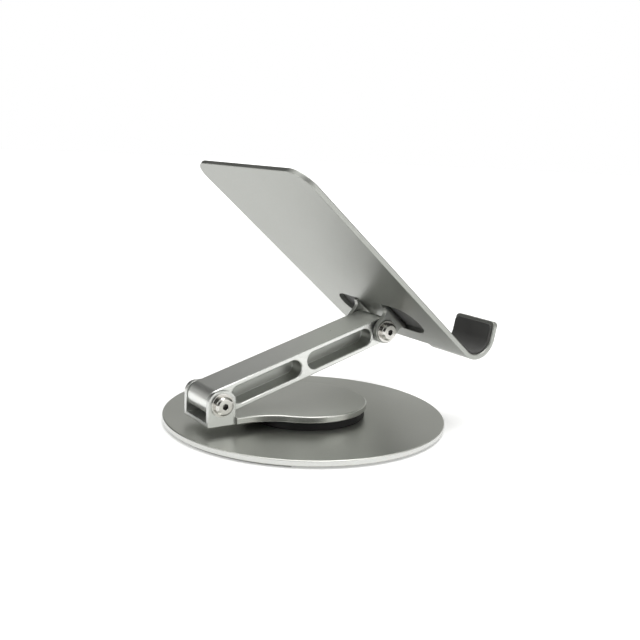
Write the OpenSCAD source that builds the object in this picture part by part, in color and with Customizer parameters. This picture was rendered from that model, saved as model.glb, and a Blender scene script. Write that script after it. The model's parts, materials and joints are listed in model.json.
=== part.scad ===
// Folding tablet stand: a round base, a turning plate, an arm with pockets on two
// friction hinges and a sheet support panel with two hooks.
// The origin is the centre of the base on the table; +Z is up and +X runs
// along both hinge axes. The user faces the stand from -Y.

/* [Base] */
// diameter of the round base plate
base_d = 150; // [140:1:180]
// thickness of the base plate
base_t = 3; // [3:0.1:4]
// height of the rubber feet below the base plate
foot_h = 1.2; // [1.1:0.1:1.5]
// angle covered by each of the three feet
foot_arc = 55; // [30:1:80]
// direction of the first foot's centre
foot_start = 115.8; // [90:0.1:140]

/* [Swivel] */
// diameter of the black swivel seat
seat_d = 64.6; // [60:0.2:65]
// height of the black swivel seat
seat_h = 3.9; // [3.8:0.1:4.2]
// radius of the round part of the swivel plate
plate_r = 33.2; // [33:0.1:34.5]
// thickness of the swivel plate
plate_t = 3.6; // [3.2:0.1:3.6]
// half width of the swivel plate's neck
neck_half_w = 15.3; // [15:0.1:16]
// radius of the curve between the neck and the round part
neck_blend_r = 32; // [24:1:33]

/* [Hinges] */
// distance of the lower hinge behind the swivel axis
lower_y = 56.4; // [56:0.1:58]
// height of the lower hinge above the base plate's top
lower_up = 14.7; // [14.7:0.1:16]
// slope of the arm above level
arm_slope = 16.43; // [15:0.5:20]
// distance between the two hinge axes
arm_len = 102.2; // [95:0.1:110]
// slope of the support panel above level
panel_slope = 40.9; // [35:0.1:45]

/* [Arm] */
// width of the arm
arm_w = 21.3; // [21:0.1:22]
// depth of the arm's section
arm_h = 14.16; // [13.4:0.02:14.2]
// height of the pockets in the arm's sides
pocket_h = 9.5; // [8:0.1:10]
// thickness of the web between the pockets
web_t = 2; // [1.6:0.1:4]

/* [Support panel] */
// width of the panel
panel_w = 107; // [100:0.5:120]
// thickness of the sheet
sheet_t = 2.7; // [2.4:0.1:2.8]
// length of the flat part above the upper hinge
panel_up = 119; // [100:1:130]
// distance from the upper hinge axis to the panel's back face
panel_gap = 9.43; // [9.4:0.01:10]
// radius of the two top corners
corner_r = 12; // [6:1:16]
// outer radius of the hooks
hook_r = 12.2; // [12:0.1:14]
// width of each hook
hook_w = 30; // [26:0.5:34]
// length of the hooks' straight lips
lip_len = 9.2; // [7:0.1:10]

/* [Hidden] */

$fn = 96;
eps = 0.01;                 // overshoot of cutting bodies
play = 0.05;                // radial play of running fits
rub = 0.02;                 // gap between flat faces that slide

// heights
base_top = foot_h + base_t;
seat_top = base_top + seat_h;
plate_low = seat_top + rub;
lower_z = base_top + lower_up;
upper_y = lower_y - arm_len * cos(arm_slope);
upper_z = lower_z + arm_len * sin(arm_slope);

// base
base_r = base_d / 2;
base_edge = 0.4;
foot_out_r = base_r - 2;
foot_w = 6;
foot_sink = 0.8;            // depth of the grooves that hold the feet
groove_play = 0.15;
access_r = 10;              // hole that gives access to the pivot nut
cover_r = 17;
cover_sink = 0.8;
cover_edge = 0.3;

// countersunk screws
m3_r = 1.45;
m3_hole_r = 1.5;
m3_head_r = 2.8;
m3_head_h = 1.65;
m3_socket_af = 2;
m3_socket_depth = 1.1;
csk_play = 0.1;
seat_edge = 0.3;
seat_screw_ring = 24;       // radius of the circle of seat screws
seat_screw_turn = 30;
seat_screw_len = 6;
tap_spare = 0.3;            // depth of a tapped hole beyond its screw

// pivot stack, from the top down
seat_web_t = 1.5;
stud_r = 4;
stud_head_r = 5;
stud_head_h = 2.2;
stud_thread_r = 2.98;
thread_hole_r = 3.03;
washer_hole_r = 3.2;
friction_r = 9;
friction_t = 0.5;
pivot_washer_r = 9;
pivot_washer_t = 1;
spring_r = 7;
spring_h = 0.7;
spring_sheet = 0.4;
nut_h = 2.2;
nut_af = 10;
stud_end = 0.1;             // stud shown below the nut
stack_top = seat_top - seat_web_t;
friction_low = stack_top - friction_t;
washer_low = friction_low - pivot_washer_t;
spring_low = washer_low - spring_h;
nut_low = spring_low - nut_h;

// arm
arm_half_w = arm_w / 2;
arm_r = arm_h / 2;
arm_edge = 0.4;
pocket_r = pocket_h / 2;
pockets = [[7.2 + pocket_r, 49.2 - pocket_r], [53 + pocket_r, 95 - pocket_r]];
pocket_edge = 0.4;

// hinge hardware
sleeve_r = 4;
m5_r = 2.45;
m5_hole_r = 2.5;
m5_clear_r = 2.7;
m5_len = 10;
m5_head_r = 4.75;
m5_head_h = 2.8;
m5_rim_h = 1.8;             // straight part of the screw head
m5_flat_r = 3.7;            // flat on top of the screw head
m5_socket_af = 3;
m5_socket_depth = 2;
dome_z = (pow(m5_flat_r, 2) + pow(m5_head_h, 2) - pow(m5_head_r, 2) - pow(m5_rim_h, 2)) / (2 * (m5_head_h - m5_rim_h));
dome_r = sqrt(pow(m5_head_r, 2) + pow(m5_rim_h - dome_z, 2));
washer_r = 6;
lower_washer_t = 0.95;
upper_washer_t = 1;
nylon_r = 6.5;
lower_nylon_t = 0.52;
upper_nylon_t = 1.1;

// clevis
ear_t = 2.3;
ear_in = arm_half_w + lower_nylon_t;
ear_out = ear_in + ear_t;
ear_half_w = 7.5;
ear_top = 6.5;              // height of the ears above the hinge axis
ear_corner = 5.5;
floor_t = 1.8;
clevis_front = lower_y - ear_half_w;
clevis_rear = lower_y + ear_half_w;
tongue_half_w = 10.6;
tongue_len = 5.5;           // reach of the tongue into the clevis
clevis_screw_x = 6;
clevis_screw_y = clevis_front + 3.2;
clevis_screw_len = 3.3;
plate_edge = 0.5;

// support panel, in its own frame: Y up the slope, Z out of the front,
// origin on the upper hinge axis
panel_half_w = panel_w / 2;
panel_front = panel_gap + sheet_t;
panel_edge = 0.4;
tab_in = arm_half_w + upper_nylon_t;
tab_out = tab_in + sheet_t;
tab_r = 6.7;
tab_root = 9.5;             // half width of the tab at its bend
bend_in = 1;                // inner radius of the tab's bend
bend_out = bend_in + sheet_t;
bend_x = tab_in - bend_in;
bend_z = panel_gap - bend_in;
tab_blend = tab_root - tab_r;
window_in = bend_x - 0.4;
window_r = 11.1;            // rounded end of each window
window_end = 34.7;
hook_y = -21.7;             // lower edge of the flat part, where the hooks start to curl
hook_turn = 119;            // angle of the curl
hook_z = panel_gap + hook_r;
hook_in_r = hook_r - sheet_t;
hook_in_x = panel_half_w - hook_w;
lip_corner = 3;
lip_root = 0.3;             // the lip's overlap with the curl
lip_thin = 0.02;            // the lip is this much thinner on each face

// soft parts
pad_t = 1.2;
pad_half_w = 42;
pad_low = -15;
pad_high = 92;
pad_corner = 8;
hook_pad_inset = 1.2;
hook_pad_tip = 1.6;         // bare metal left at the lip's tip
hook_pad_top = -17;         // upper edge of the hook pads

// ------------------------------------------------------------ helpers

module at_lower() translate([0, lower_y, lower_z]) children();
module at_upper() translate([0, upper_y, upper_z]) children();
module along_arm() at_lower() rotate([180 - arm_slope, 0, 0]) children();
module along_panel() at_upper() rotate([panel_slope, 0, 0]) children();
module both_sides() {
    children();
    mirror([1, 0, 0]) children();
}
// a 2-D shape drawn in (-Z, Y) and given a length along X
module x_extrude(x0, x1) translate([x0, 0, 0]) rotate([0, 90, 0]) linear_extrude(x1 - x0) children();
module x_round(x0, x1, r) translate([x0, 0, 0]) rotate([0, 90, 0]) cylinder(h = x1 - x0, r = r);
module x_ring(x0, x1, r, hole) difference() {
    x_round(x0, x1, r);
    x_round(x0 - eps, x1 + eps, hole);
}
module ring(z, h, r, hole) translate([0, 0, z]) difference() {
    cylinder(h = h, r = r);
    translate([0, 0, -eps]) cylinder(h = h + 2 * eps, r = hole);
}
// a disc with both rims broken
module broken_disc(r, h, c) {
    cylinder(h = c, r1 = r - c, r2 = r);
    translate([0, 0, c]) cylinder(h = h - 2 * c, r = r);
    translate([0, 0, h - c]) cylinder(h = c, r1 = r, r2 = r - c);
}
// round-ended strip along Y
module strip(y0, y1, r) {
    translate([0, y0]) circle(r = r);
    translate([0, y1]) circle(r = r);
    translate([-r, y0]) square([2 * r, y1 - y0]);
}
// the same strip, r1 wide at z = 0 and r2 wide at z = h
module flared_strip(y0, y1, r1, r2, h) {
    translate([0, y0, 0]) cylinder(h = h, r1 = r1, r2 = r2);
    translate([0, y1, 0]) cylinder(h = h, r1 = r1, r2 = r2);
    translate([0, y1, 0]) rotate([90, 0, 0]) linear_extrude(y1 - y0)
        polygon([[-r1, 0], [r1, 0], [r2, h], [-r2, h]]);
}
module hex_socket(af, h) cylinder(h = h, d = af / cos(30), $fn = 6);

module csk_hole(depth) {
    translate([0, 0, -eps]) cylinder(h = m3_head_h + eps, r1 = m3_head_r + csk_play, r2 = m3_hole_r);
    translate([0, 0, -eps]) cylinder(h = depth + eps, r = m3_hole_r);
}
module csk_screw(len) difference() {
    union() {
        cylinder(h = m3_head_h, r1 = m3_head_r, r2 = m3_r);
        cylinder(h = len, r = m3_r);
    }
    translate([0, 0, -eps]) hex_socket(m3_socket_af, m3_socket_depth + eps);
}

// low-headed screw along +X, with the head's bearing face at x
module cap_screw(x) translate([x, 0, 0]) rotate([0, 90, 0]) difference() {
    union() {
        intersection() {
            cylinder(h = m5_head_h, r = m5_head_r);
            translate([0, 0, dome_z]) sphere(r = dome_r);
        }
        translate([0, 0, -m5_len]) cylinder(h = m5_len + eps, r = m5_r);
    }
    translate([0, 0, m5_head_h - m5_socket_depth]) hex_socket(m5_socket_af, m5_socket_depth + eps);
}

// ------------------------------------------------------------ base

module foot_sector(r, wedge) polygon([
    [0, 0],
    [2 * r * cos(wedge / 2), -2 * r * sin(wedge / 2)],
    [2 * r, 0],
    [2 * r * cos(wedge / 2), 2 * r * sin(wedge / 2)]
]);
module foot_outline(grow) intersection() {
    difference() {
        circle(r = foot_out_r + grow);
        circle(r = foot_out_r - foot_w - grow);
    }
    foot_sector(base_r, foot_arc + 2 * grow);
}
module each_foot() for (k = [0:2]) rotate([0, 0, foot_start + 120 * k]) children();
module each_seat_screw() for (k = [0:2]) rotate([0, 0, seat_screw_turn + 120 * k])
    translate([seat_screw_ring, 0, foot_h]) children();

module base_plate() color([0.60, 0.61, 0.58]) difference() {
    translate([0, 0, foot_h]) broken_disc(base_r, base_t, base_edge);
    translate([0, 0, foot_h - eps]) cylinder(h = base_t + 2 * eps, r = access_r);
    translate([0, 0, foot_h - eps]) cylinder(h = cover_sink + eps, r = cover_r + groove_play);
    each_foot() translate([0, 0, foot_h - eps]) linear_extrude(foot_sink + eps) foot_outline(groove_play);
    each_seat_screw() csk_hole(base_t + eps);
}

module base_feet() color([0.60, 0.60, 0.58])
    each_foot() linear_extrude(foot_h + foot_sink) foot_outline(0);

module swivel_seat() color([0.05, 0.05, 0.05]) difference() {
    translate([0, 0, base_top]) broken_disc(seat_d / 2, seat_h, seat_edge);
    translate([0, 0, base_top - eps]) cylinder(h = seat_h - seat_web_t + eps, r = access_r);
    translate([0, 0, base_top]) cylinder(h = seat_h + eps, r = stud_r + play);
    each_seat_screw() translate([0, 0, base_t - eps])
        cylinder(h = seat_screw_len - base_t + tap_spare, r = m3_hole_r);
}

module seat_screws() color([0.70, 0.70, 0.68]) each_seat_screw() csk_screw(seat_screw_len);

module pivot_cover() color([0.60, 0.60, 0.58]) {
    cylinder(h = cover_edge, r1 = cover_r - cover_edge, r2 = cover_r);
    translate([0, 0, cover_edge]) cylinder(h = foot_h + cover_sink - cover_edge, r = cover_r);
}

// ------------------------------------------------------------ turning plate

blend_x = neck_half_w + neck_blend_r;
blend_y = sqrt(pow(plate_r + neck_blend_r, 2) - pow(blend_x, 2));
touch = plate_r / (plate_r + neck_blend_r);

// round part with a neck that flares into it; its side leans in by lean
module plate_layer(h, lean) {
    over = lean * eps / h;
    cylinder(h = h, r1 = plate_r, r2 = plate_r - lean);
    difference() {
        linear_extrude(h) polygon([
            [0, 0], [-touch * blend_x, touch * blend_y], [-neck_half_w, blend_y], [-neck_half_w, clevis_front],
            [neck_half_w, clevis_front], [neck_half_w, blend_y], [touch * blend_x, touch * blend_y]
        ]);
        both_sides() {
            translate([blend_x, blend_y, -eps])
                cylinder(h = h + 2 * eps, r1 = neck_blend_r - over, r2 = neck_blend_r + lean + over);
            if (lean > 0) translate([0, clevis_front + eps, 0]) rotate([90, 0, 0])
                linear_extrude(clevis_front + eps - blend_y)
                    polygon([[neck_half_w, 0], [neck_half_w + h, 0], [neck_half_w + h, h + eps], [neck_half_w - lean - over, h + eps]]);
        }
    }
}

module swivel_plate() color([0.66, 0.67, 0.64]) difference() {
    union() {
        translate([0, 0, plate_low + plate_edge]) plate_layer(plate_t - 2 * plate_edge, 0);
        translate([0, 0, plate_low + plate_t - plate_edge]) plate_layer(plate_edge, plate_edge);
        translate([0, 0, plate_low + plate_edge]) mirror([0, 0, 1]) plate_layer(plate_edge, plate_edge);
        translate([-tongue_half_w, clevis_front - 1, plate_low + floor_t])
            cube([2 * tongue_half_w, tongue_len + 1, plate_t - floor_t]);
    }
    translate([0, 0, plate_low - eps]) cylinder(h = stud_head_h + eps, r = stud_head_r);
    each_clevis_screw() translate([0, 0, floor_t - eps])
        cylinder(h = clevis_screw_len - floor_t + eps + 0.1, r = m3_hole_r);
}

module pivot_stud() color([0.72, 0.72, 0.70]) {
    translate([0, 0, plate_low]) cylinder(h = stud_head_h, r = stud_head_r - rub);
    translate([0, 0, friction_low + play]) cylinder(h = plate_low - friction_low, r = stud_r);
    translate([0, 0, nut_low - stud_end]) cylinder(h = plate_low - nut_low, r = stud_thread_r);
}

module pivot_friction_washer() color([0.90, 0.90, 0.86])
    ring(friction_low + rub, friction_t - 2 * rub, friction_r, stud_r + play);

module pivot_washer() color([0.72, 0.72, 0.70])
    ring(washer_low, pivot_washer_t, pivot_washer_r, washer_hole_r);

module spring_washer() color([0.60, 0.60, 0.60]) translate([0, 0, spring_low]) rotate_extrude()
    polygon([[washer_hole_r, spring_h - spring_sheet], [spring_r, 0], [spring_r, spring_sheet], [washer_hole_r, spring_h]]);

module pivot_nut() color([0.72, 0.72, 0.70]) translate([0, 0, nut_low]) difference() {
    cylinder(h = nut_h, d = nut_af / cos(30), $fn = 6);
    translate([0, 0, -eps]) cylinder(h = nut_h + 2 * eps, r = thread_hole_r);
}

// ------------------------------------------------------------ lower hinge

module each_clevis_screw() for (x = [-clevis_screw_x, clevis_screw_x])
    translate([x, clevis_screw_y, plate_low]) children();

// an ear about the hinge axis, in (-Z, Y), with its two top corners rounded
module ear_outline() {
    arc_z = ear_top - ear_corner;
    arc_y = ear_half_w - ear_corner;
    for (y = [-arc_y, arc_y]) translate([-arc_z, y]) circle(r = ear_corner);
    translate([-ear_top, -arc_y]) square([ear_top, 2 * arc_y]);
    translate([-arc_z, -ear_half_w]) square([arc_z + lower_z - plate_low, 2 * ear_half_w]);
}

module hinge_clevis() color([0.74, 0.75, 0.72]) difference() {
    union() {
        translate([-ear_out, clevis_front, plate_low]) cube([2 * ear_out, 2 * ear_half_w, floor_t]);
        both_sides() at_lower() x_extrude(ear_in, ear_out) ear_outline();
    }
    at_lower() x_round(-ear_out - eps, ear_out + eps, m5_clear_r);
    each_clevis_screw() csk_hole(floor_t + eps);
}

module clevis_screws() color([0.70, 0.70, 0.68]) each_clevis_screw() csk_screw(clevis_screw_len);

module lower_sleeve() color([0.72, 0.72, 0.70]) at_lower()
    x_ring(-ear_in, ear_in, sleeve_r, m5_hole_r);

module lower_friction_washers() color([0.08, 0.08, 0.08]) at_lower()
    both_sides() x_ring(arm_half_w + rub, ear_in, nylon_r, sleeve_r + play);

module lower_washers() color([0.78, 0.78, 0.76]) at_lower()
    both_sides() x_ring(ear_out, ear_out + lower_washer_t, washer_r, m5_clear_r);

module lower_screws() color([0.78, 0.78, 0.76]) at_lower()
    both_sides() cap_screw(ear_out + lower_washer_t);

// ------------------------------------------------------------ arm

module arm() color([0.74, 0.75, 0.72]) along_arm() difference() {
    union() {
        x_extrude(arm_edge - arm_half_w, arm_half_w - arm_edge) strip(0, arm_len, arm_r);
        both_sides() translate([arm_half_w - arm_edge, 0, 0]) rotate([0, 90, 0])
            flared_strip(0, arm_len, arm_r, arm_r - arm_edge, arm_edge);
    }
    for (y = [0, arm_len]) translate([0, y, 0])
        x_round(-arm_half_w - eps, arm_half_w + eps, sleeve_r + play);
    for (p = pockets) both_sides() {
        x_extrude(web_t / 2, arm_half_w + eps) strip(p[0], p[1], pocket_r);
        translate([arm_half_w - pocket_edge, 0, 0]) rotate([0, 90, 0])
            flared_strip(p[0], p[1], pocket_r, pocket_r + pocket_edge + eps, pocket_edge + eps);
    }
}

// ------------------------------------------------------------ support panel

// cross-section of the sheet with broken corners, from x0 to x1 and y0 to y1
module sheet_section(x0, x1, y0, y1) polygon([
    [x0 + panel_edge, y0], [x1 - panel_edge, y0], [x1, y0 + panel_edge], [x1, y1 - panel_edge],
    [x1 - panel_edge, y1], [x0 + panel_edge, y1], [x0, y1 - panel_edge], [x0, y0 + panel_edge]
]);

module flat_sheet() {
    shoulder = panel_up - corner_r;
    translate([0, shoulder, 0]) rotate([90, 0, 0]) linear_extrude(shoulder - hook_y)
        sheet_section(-panel_half_w, panel_half_w, panel_gap, panel_front);
    both_sides() translate([panel_half_w - corner_r, shoulder, panel_gap])
        broken_disc(corner_r, sheet_t, panel_edge);
    x_extrude(corner_r - panel_half_w, panel_half_w - corner_r) polygon([
        [-panel_gap, shoulder - 1], [-panel_gap, panel_up - panel_edge], [-panel_gap - panel_edge, panel_up],
        [panel_edge - panel_front, panel_up], [-panel_front, panel_up - panel_edge], [-panel_front, shoulder - 1]
    ]);
}

module window_outline() {
    translate([window_in, -window_r]) square([window_end - window_r - window_in, 2 * window_r]);
    translate([window_end - window_r, 0]) circle(r = window_r);
}

// outline of a tab, drawn in (-Z, Y)
module tab_outline() {
    circle(r = tab_r);
    translate([-bend_z, -tab_r]) square([bend_z, 2 * tab_r]);
    for (side = [0, 1]) mirror([0, side]) difference() {
        translate([-bend_z, tab_r - eps]) square([tab_blend, tab_blend + eps]);
        translate([tab_blend - bend_z, tab_root]) circle(r = tab_blend);
    }
}

// a tab cut from the window and bent back to carry the upper hinge
module tab() {
    translate([window_in - 1, -tab_root, panel_gap]) cube([bend_x - window_in + 1, 2 * tab_root, sheet_t]);
    translate([bend_x, tab_root, bend_z]) rotate([90, 0, 0]) linear_extrude(2 * tab_root) intersection() {
        difference() {
            circle(r = bend_out);
            circle(r = bend_in);
        }
        square(bend_out + 1);
    }
    difference() {
        x_extrude(tab_in, tab_out) tab_outline();
        x_round(tab_in - eps, tab_out + eps, m5_clear_r);
    }
}

// frame of a hook's curl: Z along the hook's width, X from the curl's centre
// to the flat part's end, turning towards Y
module at_hook() translate([panel_half_w, hook_y, hook_z]) rotate([90, 0, -90])
    rotate([0, 0, -90]) children();
// the same frame at the curl's other end, where the lip starts
module at_lip() at_hook() rotate([0, 0, hook_turn]) children();

// outline of the lip, drawn in (-Z, Y)
module lip_outline() {
    translate([-hook_w, -lip_root]) square([hook_w, lip_len - lip_corner + lip_root]);
    translate([lip_corner - hook_w, -lip_root]) square([hook_w - 2 * lip_corner, lip_len + lip_root]);
    for (x = [lip_corner - hook_w, -lip_corner]) translate([x, lip_len - lip_corner]) circle(r = lip_corner);
}

module hook() {
    at_hook() rotate_extrude(angle = hook_turn) sheet_section(hook_in_r, hook_r, 0, hook_w);
    at_lip() intersection() {
        translate([0, lip_len, 0]) rotate([90, 0, 0]) linear_extrude(lip_len + lip_root)
            sheet_section(hook_in_r + lip_thin, hook_r - lip_thin, lip_thin, hook_w - lip_thin);
        rotate([0, 90, 0]) linear_extrude(hook_r + 1) lip_outline();
    }
}

module support_panel() color([0.70, 0.71, 0.68]) along_panel() {
    difference() {
        flat_sheet();
        both_sides() translate([0, 0, panel_gap - eps]) linear_extrude(sheet_t + 2 * eps) window_outline();
    }
    both_sides() {
        tab();
        hook();
    }
}

module front_pad() color([0.20, 0.20, 0.19]) along_panel() translate([0, 0, panel_front]) linear_extrude(pad_t) {
    in_x = pad_half_w - pad_corner;
    translate([-in_x, pad_low]) square([2 * in_x, pad_high - pad_low]);
    translate([-pad_half_w, pad_low + pad_corner]) square([2 * pad_half_w, pad_high - pad_low - 2 * pad_corner]);
    for (x = [-in_x, in_x]) for (y = [pad_low + pad_corner, pad_high - pad_corner])
        translate([x, y]) circle(r = pad_corner);
}

module hook_pads() color([0.20, 0.20, 0.19]) along_panel() both_sides() {
    width = hook_w - 2 * hook_pad_inset;
    translate([hook_in_x + hook_pad_inset, hook_y, panel_front]) cube([width, hook_pad_top - hook_y, pad_t]);
    at_hook() rotate_extrude(angle = hook_turn)
        translate([hook_in_r - pad_t, hook_pad_inset]) square([pad_t, width]);
    at_lip() translate([hook_in_r - pad_t + lip_thin, -lip_root, hook_pad_inset + lip_thin])
        cube([pad_t - lip_thin, lip_len - hook_pad_tip + lip_root, width - 2 * lip_thin]);
}

// ------------------------------------------------------------ upper hinge

module upper_sleeve() color([0.72, 0.72, 0.70]) at_upper() x_ring(-tab_in, tab_in, sleeve_r, m5_hole_r);

module upper_friction_washers() color([0.08, 0.08, 0.08]) at_upper()
    both_sides() x_ring(arm_half_w + rub, tab_in, nylon_r, sleeve_r + play);

module upper_washers() color([0.78, 0.78, 0.76]) at_upper()
    both_sides() x_ring(tab_out, tab_out + upper_washer_t, washer_r, m5_clear_r);

module upper_screws() color([0.78, 0.78, 0.76]) at_upper()
    both_sides() cap_screw(tab_out + upper_washer_t);

// ------------------------------------------------------------ assembly

base_plate();
base_feet();
swivel_seat();
seat_screws();
pivot_cover();
swivel_plate();
pivot_stud();
pivot_friction_washer();
pivot_washer();
spring_washer();
pivot_nut();
hinge_clevis();
clevis_screws();
lower_sleeve();
lower_friction_washers();
lower_washers();
lower_screws();
arm();
support_panel();
front_pad();
hook_pads();
upper_sleeve();
upper_friction_washers();
upper_washers();
upper_screws();
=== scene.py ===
"""Looks of the folding tablet stand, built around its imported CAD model.

Metres, in the row frame: the origin is the base's centre on the table, +Z is up,
+X runs along both hinge axes and the user faces the stand from -Y.
"""

import json
import math

import bmesh
import bpy
from mathutils import Euler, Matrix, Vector


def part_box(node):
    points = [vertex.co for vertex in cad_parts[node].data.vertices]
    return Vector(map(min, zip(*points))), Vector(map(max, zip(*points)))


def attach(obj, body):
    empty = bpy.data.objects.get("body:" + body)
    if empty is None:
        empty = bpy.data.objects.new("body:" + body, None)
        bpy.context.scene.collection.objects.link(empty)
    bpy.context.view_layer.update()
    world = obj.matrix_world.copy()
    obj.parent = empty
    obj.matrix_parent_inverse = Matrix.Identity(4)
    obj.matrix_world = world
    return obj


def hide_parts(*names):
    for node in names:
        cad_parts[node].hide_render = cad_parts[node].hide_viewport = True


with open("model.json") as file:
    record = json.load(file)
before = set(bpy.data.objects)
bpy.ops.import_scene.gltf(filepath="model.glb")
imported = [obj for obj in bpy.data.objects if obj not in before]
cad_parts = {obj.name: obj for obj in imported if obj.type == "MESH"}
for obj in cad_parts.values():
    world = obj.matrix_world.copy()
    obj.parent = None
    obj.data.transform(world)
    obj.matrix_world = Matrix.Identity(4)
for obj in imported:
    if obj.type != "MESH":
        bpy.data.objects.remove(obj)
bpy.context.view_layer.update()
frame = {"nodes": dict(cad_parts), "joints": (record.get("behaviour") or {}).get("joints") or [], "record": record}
MM = 0.001

# ---------------------------------------------------------------- the panel's own frame
# Y up the slope, Z out of the front, origin on the upper hinge axis

joints = {j["name"]: j for j in frame["joints"]}
mounts = {m["name"]: m for m in frame["record"]["mounts"]}
panel_axis = Vector(joints["panel_hinge"]["pos_m"])
panel_out = Vector(mounts["tablet_rest"]["axis"]).normalized()
panel_up = panel_out.cross(Vector((1, 0, 0))).normalized()


def panel_point(x, y, z):
    """A point of the panel's frame, given in mm, in the row frame."""
    return panel_axis + MM * (x * Vector((1, 0, 0)) + y * panel_up + z * panel_out)


# ---------------------------------------------------------------- meshes


def mesh_object(name, bm, smooth=True):
    """The finished object, with its faces turned outwards."""
    bmesh.ops.recalc_face_normals(bm, faces=bm.faces)
    for face in bm.faces:
        face.smooth = smooth
    mesh = bpy.data.meshes.new(name)
    bm.to_mesh(mesh)
    bm.free()
    made = bpy.data.objects.new(name, mesh)
    bpy.context.scene.collection.objects.link(made)
    return made


def rounded_stations(length, half_w, corner, inset, straight, arc=8):
    """(distance along, half width) of a round-cornered strip shrunk by inset."""
    found = []
    radius = corner - inset
    centre_w = half_w - corner
    for k in range(arc + 1):
        turn = math.pi / 2 * (1 - k / arc)
        found.append((corner - radius * math.sin(turn), centre_w + radius * math.cos(turn)))
    for k in range(1, straight):
        found.append((corner + (length - 2 * corner) * k / straight, half_w - inset))
    for k in range(arc + 1):
        turn = math.pi / 2 * k / arc
        found.append((length - corner + radius * math.sin(turn), centre_w + radius * math.cos(turn)))
    return found


def rim_profile(thick, edge, steps=5):
    """(inset, height) from the seat up the side and round the rim."""
    seat_break = 0.12 * edge
    profile = [(seat_break, 0.0), (0.0, seat_break), (0.0, thick - edge)]
    for k in range(1, steps + 1):
        turn = math.pi / 2 * k / steps
        profile.append((edge * (1 - math.cos(turn)), thick - edge + edge * math.sin(turn)))
    return profile


def slab(name, length, half_w, thick, edge, corner, place, straight, across):
    """A moulded strip with a rounded rim. place(u, v, h) gives the point at u across,
    v along and h above its seat. straight and across count its faces each way."""
    bm = bmesh.new()
    profile = rim_profile(thick, edge)
    rings = []
    for inset, height in profile:
        ring = {}
        stations = rounded_stations(length, half_w, corner, inset, straight)
        for i, (v, w) in enumerate(stations):
            for j in range(across + 1):
                if i in (0, len(stations) - 1) or j in (0, across):
                    ring[i, j] = bm.verts.new(place(w * (2 * j / across - 1), v, height))
        rings.append(ring)
    last = len(stations) - 1
    border = [(i, 0) for i in range(last)] + [(last, j) for j in range(across)]
    border += [(i, across) for i in range(last, 0, -1)] + [(0, j) for j in range(across, 0, -1)]
    for low, high in zip(rings, rings[1:]):
        for a, b in zip(border, border[1:] + border[:1]):
            bm.faces.new((low[a], low[b], high[b], high[a]))
    for ring, (inset, height) in ((rings[0], profile[0]), (rings[-1], profile[-1])):
        stations = rounded_stations(length, half_w, corner, inset, straight)
        for i in range(1, last):
            v, w = stations[i]
            for j in range(1, across):
                ring[i, j] = bm.verts.new(place(w * (2 * j / across - 1), v, height))
        for i in range(last):
            for j in range(across):
                bm.faces.new((ring[i, j], ring[i + 1, j], ring[i + 1, j + 1], ring[i, j + 1]))
    return mesh_object(name, bm)


def lathe(name, profile, segments=160):
    """A turned piece about the row frame's Z axis, from (radius, height) points."""
    bm = bmesh.new()
    rings = []
    for r, z in profile:
        if r == 0:
            rings.append([bm.verts.new((0, 0, z))])
        else:
            turns = [2 * math.pi * k / segments for k in range(segments)]
            rings.append([bm.verts.new((r * math.cos(t), r * math.sin(t), z)) for t in turns])
    for low, high in zip(rings, rings[1:]):
        for k in range(segments):
            a, b = k, (k + 1) % segments
            corners = (low[a % len(low)], low[b % len(low)], high[b % len(high)], high[a % len(high)])
            bm.faces.new(list(dict.fromkeys(corners)))  # a triangle where a ring is one point
    return mesh_object(name, bm)


# ---------------------------------------------------------------- silicone pads

# sizes in mm, in the panel's frame
PAD_T = 1.2
PAD_EDGE = 0.45
PAD_HALF_W = 42.0
PAD_LOW = -15.0
PAD_HIGH = 92.0
PAD_CORNER = 8.0
SHEET_FRONT = 12.13
PANEL_HALF_W = 53.5

# each hook curls about the line at HOOK_Y, HOOK_Z, and HOOK_IN_R is its padded side's radius
HOOK_Y = -21.7
HOOK_Z = 21.63
HOOK_IN_R = 9.5
HOOK_TURN = math.radians(119)
HOOK_W = 30.0
HOOK_PAD_INSET = 1.2
HOOK_PAD_TOP = -17.0
HOOK_PAD_LIP = 7.6
HOOK_PAD_EDGE = 0.25
HOOK_PAD_CORNER = 2.6


def front_place(u, v, h):
    return panel_point(u, PAD_LOW + v, SHEET_FRONT + h)


front_pad = slab(
    "silicone_front_pad", PAD_HIGH - PAD_LOW, PAD_HALF_W, PAD_T, PAD_EDGE, PAD_CORNER, front_place,
    straight=40, across=24,
)


def hook_place(side):
    """Places a hook pad's strip: down the sheet, round the curl and up the lip."""
    flat = HOOK_PAD_TOP - HOOK_Y
    curl = HOOK_IN_R * HOOK_TURN
    middle = side * (PANEL_HALF_W - HOOK_W / 2)

    def place(u, v, h):
        x = middle + u
        if v <= flat:
            return panel_point(x, HOOK_PAD_TOP - v, SHEET_FRONT + h)
        turn = min((v - flat) / HOOK_IN_R, HOOK_TURN)
        past = max(0.0, v - flat - curl)
        r = HOOK_IN_R - h
        y = HOOK_Y - r * math.sin(turn) - past * math.cos(turn)
        z = HOOK_Z - r * math.cos(turn) + past * math.sin(turn)
        return panel_point(x, y, z)

    return place


hook_pad_len = HOOK_PAD_TOP - HOOK_Y + HOOK_IN_R * HOOK_TURN + HOOK_PAD_LIP
hook_pads = [
    slab(
        name, hook_pad_len, HOOK_W / 2 - HOOK_PAD_INSET, PAD_T, HOOK_PAD_EDGE, HOOK_PAD_CORNER,
        hook_place(side), straight=56, across=14,
    )
    for name, side in (("silicone_hook_pad_far", 1), ("silicone_hook_pad_near", -1))
]

# ---------------------------------------------------------------- rubber feet and cover

FOOT_COUNT = 3
FOOT_R = 70.0
FOOT_W = 6.0
FOOT_H = 2.0
FOOT_EDGE = 0.35
FOOT_CORNER = 1.0
FOOT_ARC = math.radians(55)
FOOT_START = math.radians(115.8)


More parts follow.
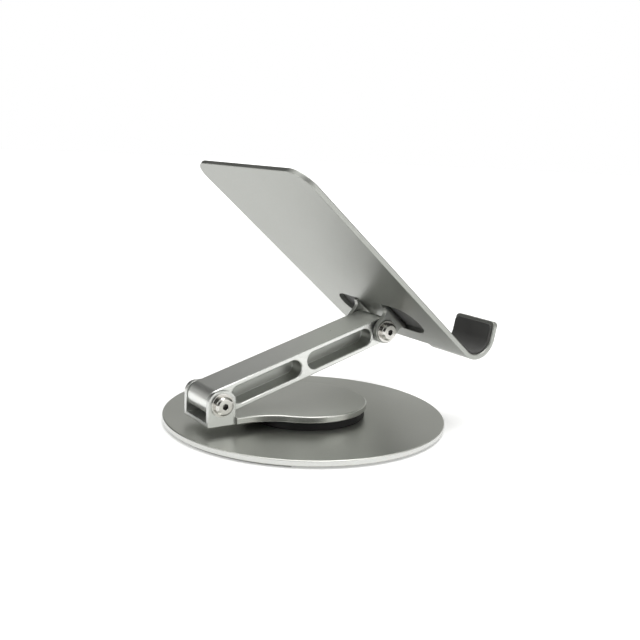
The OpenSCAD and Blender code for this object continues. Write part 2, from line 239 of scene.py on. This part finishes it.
def foot_place(centre):
    """Places a foot's strip along its arc under the base, moulded side down."""

    def place(u, v, h):
        turn = centre - FOOT_ARC / 2 + v / FOOT_R
        r = FOOT_R + u
        return MM * Vector((r * math.cos(turn), r * math.sin(turn), FOOT_H - h))

    return place


feet = [
    slab(
        f"rubber_foot_{k + 1}", FOOT_R * FOOT_ARC, FOOT_W / 2, FOOT_H, FOOT_EDGE, FOOT_CORNER,
        foot_place(FOOT_START + 2 * math.pi / FOOT_COUNT * k), straight=48, across=8,
    )
    for k in range(FOOT_COUNT)
]

COVER_R = 17.0
COVER_H = 2.0
GROOVES = (4.0, 7.0, 10.0, 13.0)  # radii of the shallow moulded rings under the cover
GROOVE_W = 0.9
GROOVE_FLOOR_W = 0.5
GROOVE_DEPTH = 0.16

cover_profile = [(0, 0.0)]
for groove in GROOVES:
    cover_profile += [
        (groove - GROOVE_W / 2, 0.0),
        (groove - GROOVE_FLOOR_W / 2, GROOVE_DEPTH),
        (groove + GROOVE_FLOOR_W / 2, GROOVE_DEPTH),
        (groove + GROOVE_W / 2, 0.0),
    ]
# the rounded foot of the cover's side, its wall and its broken top edge
cover_profile += [(COVER_R - 0.5, 0.0), (COVER_R - 0.22, 0.06), (COVER_R - 0.05, 0.22), (COVER_R, 0.5)]
cover_profile += [(COVER_R, COVER_H - 0.1), (COVER_R - 0.1, COVER_H), (0, COVER_H)]
cover = lathe("rubber_pivot_cover", [(r * MM, z * MM) for r, z in cover_profile])

# ---------------------------------------------------------------- materials

EDGE_FULL = 0.93  # cosine between the true and the rounded normal at the middle of an edge


class Nodes:
    """Short ways to add and link nodes in one material."""

    def __init__(self, name):
        self.mat = bpy.data.materials.new(name)
        self.mat.use_nodes = True
        self.tree = self.mat.node_tree
        self.shader = self.tree.nodes["Principled BSDF"]
        self.place = self.add("ShaderNodeTexCoord").outputs["Object"]

    def add(self, kind, **settings):
        made = self.tree.nodes.new(kind)
        for key, value in settings.items():
            setattr(made, key, value)
        return made

    def link(self, a, b):
        self.tree.links.new(a, b)

    def noise(self, scale, detail=2.0, rough=0.5, stretch=(1, 1, 1), distortion=0.0):
        """Solid noise, mostly 0.3 to 0.7. scale is its number of features in a metre."""
        mapped = self.add("ShaderNodeMapping")
        mapped.inputs["Scale"].default_value = stretch
        self.link(self.place, mapped.inputs["Vector"])
        made = self.add("ShaderNodeTexNoise")
        made.inputs["Scale"].default_value = scale
        made.inputs["Detail"].default_value = detail
        made.inputs["Roughness"].default_value = rough
        made.inputs["Distortion"].default_value = distortion
        self.link(mapped.outputs["Vector"], made.inputs["Vector"])
        return made.outputs["Fac"]

    def math(self, operation, a, b=None):
        made = self.add("ShaderNodeMath", operation=operation)
        for socket, value in zip(made.inputs, (a, b)):
            if value is None:
                continue
            if isinstance(value, (int, float)):
                socket.default_value = value
            else:
                self.link(value, socket)
        return made.outputs[0]

    def remap(self, value, low, high, to_low, to_high):
        """Takes low..high to to_low..to_high, and holds value at either end."""
        made = self.add("ShaderNodeMapRange")
        self.link(value, made.inputs["Value"])
        for key, number in zip(("From Min", "From Max", "To Min", "To Max"), (low, high, to_low, to_high)):
            made.inputs[key].default_value = number
        return made.outputs["Result"]

    def mix(self, factor, a, b):
        """Colour a where factor is 0 and colour b where it is 1."""
        made = self.add("ShaderNodeMix", data_type="RGBA")  # its colours are sockets 6 and 7
        for socket, value in ((made.inputs[0], factor), (made.inputs[6], a), (made.inputs[7], b)):
            if isinstance(value, (int, float)):
                socket.default_value = value
            elif isinstance(value, tuple):
                socket.default_value = (*value, 1)
            else:
                self.link(value, socket)
        return made.outputs[2]

    def blend(self, factor, a, b):
        """The same for numbers, all three of them from other nodes."""
        made = self.add("ShaderNodeMix", data_type="FLOAT")  # its numbers are sockets 2 and 3
        for socket, value in zip(made.inputs[:1] + made.inputs[2:4], (factor, a, b)):
            self.link(value, socket)
        return made.outputs[0]

    def along(self, start, way):
        """The distance from start, measured along way."""
        offset = self.add("ShaderNodeVectorMath", operation="SUBTRACT")
        self.link(self.place, offset.inputs[0])
        offset.inputs[1].default_value = start
        dot = self.add("ShaderNodeVectorMath", operation="DOT_PRODUCT")
        self.link(offset.outputs[0], dot.inputs[0])
        dot.inputs[1].default_value = way
        return dot.outputs["Value"]

    def edges(self, radius):
        """(how near to an edge, 0 to 1; the normal rounded over that edge)"""
        bevel = self.add("ShaderNodeBevel", samples=6)
        bevel.inputs["Radius"].default_value = radius
        true = self.add("ShaderNodeNewGeometry").outputs["Normal"]
        dot = self.add("ShaderNodeVectorMath", operation="DOT_PRODUCT")
        self.link(bevel.outputs["Normal"], dot.inputs[0])
        self.link(true, dot.inputs[1])
        return self.remap(dot.outputs["Value"], 1.0, EDGE_FULL, 0.0, 1.0), bevel.outputs["Normal"]

    def bump(self, height, strength, distance, normal=None):
        made = self.add("ShaderNodeBump")
        made.inputs["Strength"].default_value = strength
        made.inputs["Distance"].default_value = distance
        self.link(height, made.inputs["Height"])
        if normal is not None:
            self.link(normal, made.inputs["Normal"])
        return made.outputs["Normal"]


# how a face's normal shows that it was machined: |component| where the cut look starts
# and where it is full, for upright sides (Z near 0) and for faces square to X (X near 1)
CUT_RANGE = {"Z": (0.3, 0.12), "X": (0.7, 0.9)}
METAL_EDGE = 0.35 * MM
STEEL_EDGE = 0.2 * MM
MASK_SOFT = 0.5 * MM


def satin_metal(name, tint, rough, grain=0.08, cut=None, cut_axis="Z", inside=None):
    """Bead-blasted, anodised aluminium. cut is (tint, roughness) of the machined sides:
    faces that stand upright, or with cut_axis="X" faces square to X. inside is (centre,
    [(direction, half length), ...], tint, roughness) of a box whose milled faces are rougher, with a darker tint
    that is painted shade."""
    n = Nodes(name)
    near, rounded = n.edges(METAL_EDGE)
    blast = n.noise(4200, detail=3, rough=0.6)
    mottle = n.noise(900, detail=2)
    handling = n.noise(26, detail=4, rough=0.62, distortion=0.6)
    drift = n.noise(9, detail=1)
    dull = tuple(c * 0.93 for c in tint)
    edge_highlight_tint = tuple(min(1.0, c * 1.16) for c in tint)
    colour = n.mix(n.remap(handling, 0.3, 0.7, 0.0, 1.0), dull, tint)
    colour = n.mix(n.remap(mottle, 0.35, 0.65, 0.0, 0.3), colour, dull)
    level = n.math("ADD", n.remap(handling, 0.25, 0.75, -0.03, 0.04), rough)
    level = n.math("ADD", level, n.remap(mottle, 0.3, 0.7, -0.012, 0.012))
    level = n.math("ADD", level, n.remap(drift, 0.3, 0.7, -0.015, 0.015))
    if cut is not None:
        facing = n.add("ShaderNodeSeparateXYZ")
        n.link(n.tree.nodes["Texture Coordinate"].outputs["Normal"], facing.inputs[0])
        side = n.remap(n.math("ABSOLUTE", facing.outputs[cut_axis]), *CUT_RANGE[cut_axis], 0.0, 1.0)
        lines = n.noise(60, detail=3, rough=0.6, stretch=(1, 1, 160))
        colour = n.mix(side, colour, cut[0])
        level = n.blend(side, level, n.math("ADD", n.remap(lines, 0.3, 0.7, -0.05, 0.06), cut[1]))
    if inside is not None:
        centre, sides, pocket_shade_tint, dull_rough = inside
        deep = 1.0
        for way, half in sides:
            reach = n.math("ABSOLUTE", n.along(centre, way))
            deep = n.math("MULTIPLY", n.remap(reach, half, half - MASK_SOFT, 0.0, 1.0), deep)
        milled = n.remap(n.noise(700, detail=3, rough=0.6), 0.3, 0.7, -0.04, 0.04)
        # painted shade: the faces inside the box are painted darker, as shade in the recess
        colour = n.mix(deep, colour, pocket_shade_tint)
        level = n.blend(deep, level, n.math("ADD", milled, dull_rough))
    # painted highlight: the colour is lightened along every edge
    colour = n.mix(n.math("MULTIPLY", near, 0.75), colour, edge_highlight_tint)
    n.link(colour, n.shader.inputs["Base Color"])
    level = n.math("SUBTRACT", level, n.math("MULTIPLY", near, 0.08))
    n.link(level, n.shader.inputs["Roughness"])
    n.shader.inputs["Metallic"].default_value = 1.0
    n.link(n.bump(blast, grain, 0.00002, rounded), n.shader.inputs["Normal"])
    return n.mat


# the painted highlight along the steel's edges
STEEL_EDGE_HIGHLIGHT = (0.9, 0.9, 0.88)
SOCKET_SHADE_TINT = (0.12, 0.115, 0.11)


def turned_steel(name, tint, rough, axis="X", centre=(0, 0, 0), socket=None):
    """Bright steel with faint turning rings about an axis through centre. socket is
    (distance of the heads' ends from the middle plane, radius) of hex sockets painted dark, as painted shade."""
    n = Nodes(name)
    near, rounded = n.edges(STEEL_EDGE)
    offset = n.add("ShaderNodeVectorMath", operation="SUBTRACT")
    n.link(n.place, offset.inputs[0])
    offset.inputs[1].default_value = centre
    flat = n.add("ShaderNodeVectorMath", operation="MULTIPLY")
    n.link(offset.outputs[0], flat.inputs[0])
    flat.inputs[1].default_value = (0, 1, 1) if axis == "X" else (1, 1, 0)
    radius = n.add("ShaderNodeVectorMath", operation="LENGTH")
    n.link(flat.outputs[0], radius.inputs[0])
    rings = n.add("ShaderNodeTexNoise", noise_dimensions="1D")
    rings.inputs["Scale"].default_value = 9000
    rings.inputs["Detail"].default_value = 3
    n.link(radius.outputs["Value"], rings.inputs["W"])
    spots = n.noise(700, detail=3, rough=0.6)
    shade = n.mix(n.remap(spots, 0.35, 0.7, 0.0, 1.0), tint, tuple(c * 0.86 for c in tint))
    # painted highlight: the colour is lightened along every edge
    shade = n.mix(n.math("MULTIPLY", near, 0.6), shade, STEEL_EDGE_HIGHLIGHT)
    if socket is not None:
        head_end, socket_r = socket
        split_place = n.add("ShaderNodeSeparateXYZ")
        n.link(n.place, split_place.inputs[0])
        outward = n.math("ABSOLUTE", split_place.outputs["X"])
        sunk = n.remap(outward, head_end, head_end - MASK_SOFT, 0.0, 1.0)
        inner = n.remap(radius.outputs["Value"], socket_r, socket_r - 0.1 * MM, 0.0, 1.0)
        # painted shade: the hex sockets are painted dark, where shade falls in them
        shade = n.mix(n.math("MULTIPLY", sunk, inner), shade, SOCKET_SHADE_TINT)
    n.link(shade, n.shader.inputs["Base Color"])
    level = n.math("ADD", n.remap(rings.outputs["Fac"], 0.3, 0.7, -0.05, 0.06), rough)
    level = n.math("ADD", level, n.remap(spots, 0.3, 0.7, -0.03, 0.05))
    n.link(level, n.shader.inputs["Roughness"])
    n.shader.inputs["Metallic"].default_value = 1.0
    n.link(n.bump(rings.outputs["Fac"], 0.12, 0.00001, rounded), n.shader.inputs["Normal"])
    return n.mat


MOULDED_EDGE = 0.25 * MM


def lifted(tint, gain, offset):
    """A tint made lighter, and no channel of it over 1."""
    return tuple(min(1, gain * c + offset) for c in tint)


def moulded(name, dark, light, rough, grain_scale, grain, sheen=0.0, specular=0.5):
    """Moulded rubber, silicone or plastic with a fine grain, faint dust and a painted highlight along its edges.
    """
    n = Nodes(name)
    near, rounded = n.edges(MOULDED_EDGE)
    fine = n.noise(grain_scale, detail=3, rough=0.6)
    cloud = n.noise(60, detail=4, rough=0.6, distortion=0.4)
    dust = n.noise(2600, detail=2, rough=0.7)
    colour = n.mix(n.remap(cloud, 0.3, 0.7, 0.0, 1.0), dark, light)
    colour = n.mix(n.remap(dust, 0.66, 0.8, 0.0, 0.35), colour, lifted(light, 2.2, 0.02))
    # painted highlight: the colour is lightened along every edge
    colour = n.mix(n.math("MULTIPLY", near, 0.45), colour, lifted(light, 1.5, 0.01))
    n.link(colour, n.shader.inputs["Base Color"])
    level = n.math("ADD", n.remap(cloud, 0.3, 0.7, -0.05, 0.05), rough)
    level = n.math("ADD", level, n.remap(fine, 0.3, 0.7, -0.04, 0.04))
    n.link(level, n.shader.inputs["Roughness"])
    n.shader.inputs["Specular IOR Level"].default_value = specular
    if sheen:
        n.shader.inputs["Sheen Weight"].default_value = sheen
        n.shader.inputs["Sheen Roughness"].default_value = 0.5
    n.link(n.bump(fine, grain, 0.00003, rounded), n.shader.inputs["Normal"])
    return n.mat


lower_axis = tuple(joints["arm_hinge"]["pos_m"])
upper_axis = tuple(joints["panel_hinge"]["pos_m"])

# the arm's pockets lie in a box inside its broken edges, its top and its round ends
POCKET_HALF_H = 5.3 * MM
POCKET_END = 3.0 * MM
ARM_BREAK = 0.6 * MM
ACROSS = Vector((1, 0, 0))
arm_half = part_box("arm")[1].x
arm_line = Vector(upper_axis) - Vector(lower_axis)
arm_way = arm_line.normalized()
arm_middle = Vector(lower_axis) + arm_line / 2
pocket_box = [
    (ACROSS, arm_half - ARM_BREAK),
    (arm_way, arm_line.length / 2 - POCKET_END),
    (arm_way.cross(ACROSS), POCKET_HALF_H),
]

base_metal = satin_metal("base_satin", (0.56, 0.57, 0.535), 0.35, cut=((0.60, 0.605, 0.585), 0.22))
plate_metal = satin_metal("plate_satin", (0.62, 0.63, 0.595), 0.34, cut=((0.50, 0.505, 0.48), 0.22))
clevis_metal = satin_metal("clevis_satin", (0.64, 0.65, 0.63), 0.28)
# the arm's pockets are rougher and painted darker; the darker tint is painted shade
arm_metal = satin_metal(
    "arm_satin", (0.80, 0.81, 0.785), 0.31, cut=((0.68, 0.69, 0.665), 0.30), cut_axis="X",
    inside=(arm_middle, pocket_box, (0.46, 0.47, 0.445), 0.44),
)
panel_metal = satin_metal("panel_satin", (0.385, 0.393, 0.37), 0.39)

SCREW_TINT = (0.66, 0.645, 0.615)
SCREW_ROUGH = 0.14
SOCKET_R = 1.85 * MM


def hinge_steel(name, hinge, screws):
    """The steel of one hinge, turned about its axis, with painted shade in the hex sockets of its screws' heads.
    """
    return turned_steel(
        name, SCREW_TINT, SCREW_ROUGH, centre=hinge, socket=(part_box(screws)[1].x, SOCKET_R)
    )


lower_steel = hinge_steel("lower_steel", lower_axis, "lower_screws")
upper_steel = hinge_steel("upper_steel", upper_axis, "upper_screws")
pivot_steel = turned_steel("pivot_steel", (0.66, 0.66, 0.64), 0.24, axis="Z")
seat_black = moulded(
    "seat_black", (0.005, 0.005, 0.005), (0.009, 0.009, 0.009), 0.5, 3200, 0.25, specular=0.2
)
rubber = moulded("foot_rubber", (0.30, 0.30, 0.29), (0.36, 0.36, 0.345), 0.6, 2400, 0.3)
silicone = moulded("silicone", (0.024, 0.024, 0.0225), (0.036, 0.036, 0.034), 0.5, 2600, 0.22, sheen=0.2)
nylon_black = moulded("nylon_black", (0.010, 0.010, 0.010), (0.018, 0.018, 0.018), 0.4, 3000, 0.2)
nylon_white = moulded("nylon_white", (0.70, 0.70, 0.66), (0.80, 0.80, 0.76), 0.42, 3000, 0.2)

NODE_MATERIALS = {
    "base_plate": base_metal,
    "swivel_seat": seat_black,
    "seat_screws": pivot_steel,
    "swivel_plate": plate_metal,
    "pivot_stud": pivot_steel,
    "pivot_friction_washer": nylon_white,
    "pivot_washer": pivot_steel,
    "spring_washer": pivot_steel,
    "pivot_nut": pivot_steel,
    "hinge_clevis": clevis_metal,
    "clevis_screws": pivot_steel,
    "lower_sleeve": lower_steel,
    "lower_friction_washers": nylon_black,
    "lower_washers": lower_steel,
    "lower_screws": lower_steel,
    "arm": arm_metal,
    "support_panel": panel_metal,
    "upper_sleeve": upper_steel,
    "upper_friction_washers": nylon_black,
    "upper_washers": upper_steel,
    "upper_screws": upper_steel,
    "base_feet": rubber,
    "pivot_cover": rubber,
    "front_pad": silicone,
    "hook_pads": silicone,
}


def paint(obj, material):
    """Gives an object its only material."""
    obj.data.materials.clear()
    obj.data.materials.append(material)


for node, material in NODE_MATERIALS.items():
    paint(frame["nodes"][node], material)

# ---------------------------------------------------------------- riding on the CAD bodies

for piece in [front_pad, *hook_pads]:
    paint(piece, silicone)
    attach(piece, "panel")
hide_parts("front_pad")
for piece in hook_pads:
    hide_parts("hook_pads")
for piece in feet:
    paint(piece, rubber)
    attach(piece, "base")
    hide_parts("base_feet")
paint(cover, rubber)
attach(cover, "base")
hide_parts("pivot_cover")

# ---------------------------------------------------------------- floor, light and camera

FLOOR_R = 6.0
floor_bm = bmesh.new()
bmesh.ops.create_circle(floor_bm, cap_ends=True, radius=FLOOR_R, segments=128)
floor = mesh_object("floor", floor_bm, smooth=False)
floor_nodes = Nodes("pale_floor")
floor_nodes.link(
    floor_nodes.mix(floor_nodes.noise(40, detail=3), (0.86, 0.86, 0.86), (0.88, 0.88, 0.88)),
    floor_nodes.shader.inputs["Base Color"],
)
floor_nodes.shader.inputs["Roughness"].default_value = 0.9
floor_nodes.shader.inputs["Specular IOR Level"].default_value = 0.1
floor_nodes.shader.inputs["Emission Color"].default_value = (1, 1, 1, 1)
# the floor glows more outwards, so that its far part meets the white behind it
GLOW_START = 0.35
GLOW_END = 1.6
GLOW_NEAR = 0.24
GLOW_FAR = 1.05
reach = floor_nodes.add("ShaderNodeVectorMath", operation="LENGTH")
floor_nodes.link(floor_nodes.place, reach.inputs[0])
glow = floor_nodes.remap(reach.outputs["Value"], GLOW_START, GLOW_END, GLOW_NEAR, GLOW_FAR)
floor_nodes.link(glow, floor_nodes.shader.inputs["Emission Strength"])
paint(floor, floor_nodes.mat)

world = bpy.data.worlds.new("studio")
bpy.context.scene.world = world
world.use_nodes = True
tree = world.node_tree
tree.nodes.clear()
output = tree.nodes.new("ShaderNodeOutputWorld")
place = tree.nodes.new("ShaderNodeTexCoord")
split = tree.nodes.new("ShaderNodeSeparateXYZ")
tree.links.new(place.outputs["Generated"], split.inputs[0])
height = tree.nodes.new("ShaderNodeValToRGB")
ramp = height.color_ramp
ramp.interpolation = "EASE"
GROUND = (0.44, 0.44, 0.42, 1)
ZENITH = (0.9, 0.9, 0.89, 1)
SKY_STOPS = ((0.25, 0.39), (0.45, 0.54), (0.62, 0.64), (0.8, 0.75))  # (place on the ramp, grey)
SKY_BLUE = 0.97  # the stops' blue, as a share of their grey
for end, position, colour in ((0, 0.0, GROUND), (1, 1.0, ZENITH)):
    ramp.elements[end].position = position
    ramp.elements[end].color = colour
for position, value in SKY_STOPS:
    stop = ramp.elements.new(position)
    stop.color = (value, value, value * SKY_BLUE, 1)
tree.links.new(split.outputs["Z"], height.inputs["Fac"])
# black flags: (direction, cosine where its soft edge starts, cosine where it is solid,
# share of the light left inside). One hangs high on the far side, and one is the dark
# side of the room, behind the camera.
FLAGS = (
    ((0.86, 0.08, 0.50), 0.90, 0.98, 0.06),
    ((-0.82, 0.48, 0.32), 0.86, 0.94, 0.03),
)
shade = None
for way, soft, solid, left in FLAGS:
    flag = tree.nodes.new("ShaderNodeVectorMath")
    flag.operation = "DOT_PRODUCT"
    flag.inputs[1].default_value = Vector(way).normalized()
    tree.links.new(place.outputs["Generated"], flag.inputs[0])
    fall = tree.nodes.new("ShaderNodeMapRange")
    fall.interpolation_type = "SMOOTHSTEP"
    for key, number in zip(("From Min", "From Max", "To Min", "To Max"), (soft, solid, 1.0, left)):
        fall.inputs[key].default_value = number
    tree.links.new(flag.outputs["Value"], fall.inputs["Value"])
    if shade is None:
        shade = fall.outputs["Result"]
    else:
        both = tree.nodes.new("ShaderNodeMath")
        both.operation = "MULTIPLY"
        tree.links.new(shade, both.inputs[0])
        tree.links.new(fall.outputs["Result"], both.inputs[1])
        shade = both.outputs[0]
around = tree.nodes.new("ShaderNodeBackground")
tree.links.new(shade, around.inputs["Strength"])
tree.links.new(height.outputs["Color"], around.inputs["Color"])
behind = tree.nodes.new("ShaderNodeBackground")
behind.inputs["Color"].default_value = (1, 1, 1, 1)
behind.inputs["Strength"].default_value = 1.0
seen = tree.nodes.new("ShaderNodeLightPath")
choose = tree.nodes.new("ShaderNodeMixShader")
tree.links.new(seen.outputs["Is Camera Ray"], choose.inputs[0])
tree.links.new(around.outputs[0], choose.inputs[1])
tree.links.new(behind.outputs[0], choose.inputs[2])
tree.links.new(choose.outputs[0], output.inputs["Surface"])


def softbox(name, spot, size, power, aim=(0, 0, 0.05)):
    """A rectangular light at spot that faces aim and doesn't show to the camera."""
    light = bpy.data.lights.new(name, "AREA")
    light.shape = "RECTANGLE"
    light.size, light.size_y = size
    light.energy = power
    made = bpy.data.objects.new(name, light)
    bpy.context.scene.collection.objects.link(made)
    made.location = spot
    made.rotation_mode = "QUATERNION"
    made.rotation_quaternion = (Vector(aim) - Vector(spot)).to_track_quat("-Z", "Y")
    made.visible_camera = False


softbox("overhead", spot=(-0.15, -0.1, 1.3), size=(1.1, 1.1), power=11.5)
softbox("near_side", spot=(-1.0, -0.55, 0.5), size=(0.9, 0.8), power=2.4)
softbox("left_fill", spot=(-0.2, 1.2, 0.6), size=(0.8, 0.6), power=3.0)

# the camera stands at the rear, on the near side, and looks down at the stand a little
CAMERA_SPOT = (-0.384138, 0.250886, 0.146787)
CAMERA_TILT = math.radians(78.6380)  # from straight down
CAMERA_ROLL = math.radians(-2.3929)
CAMERA_HEADING = math.radians(236.5077)

camera_data = bpy.data.cameras.new("camera")
camera_data.lens = 50.0
camera_data.sensor_width = 36.0
camera_data.clip_start = 0.01
camera = bpy.data.objects.new("camera", camera_data)
bpy.context.scene.collection.objects.link(camera)
camera.rotation_mode = "QUATERNION"
camera.rotation_quaternion = Euler((CAMERA_TILT, CAMERA_ROLL, CAMERA_HEADING)).to_quaternion()
camera.location = CAMERA_SPOT
bpy.context.scene.camera = camera
bpy.context.scene.view_settings.view_transform = "Standard"
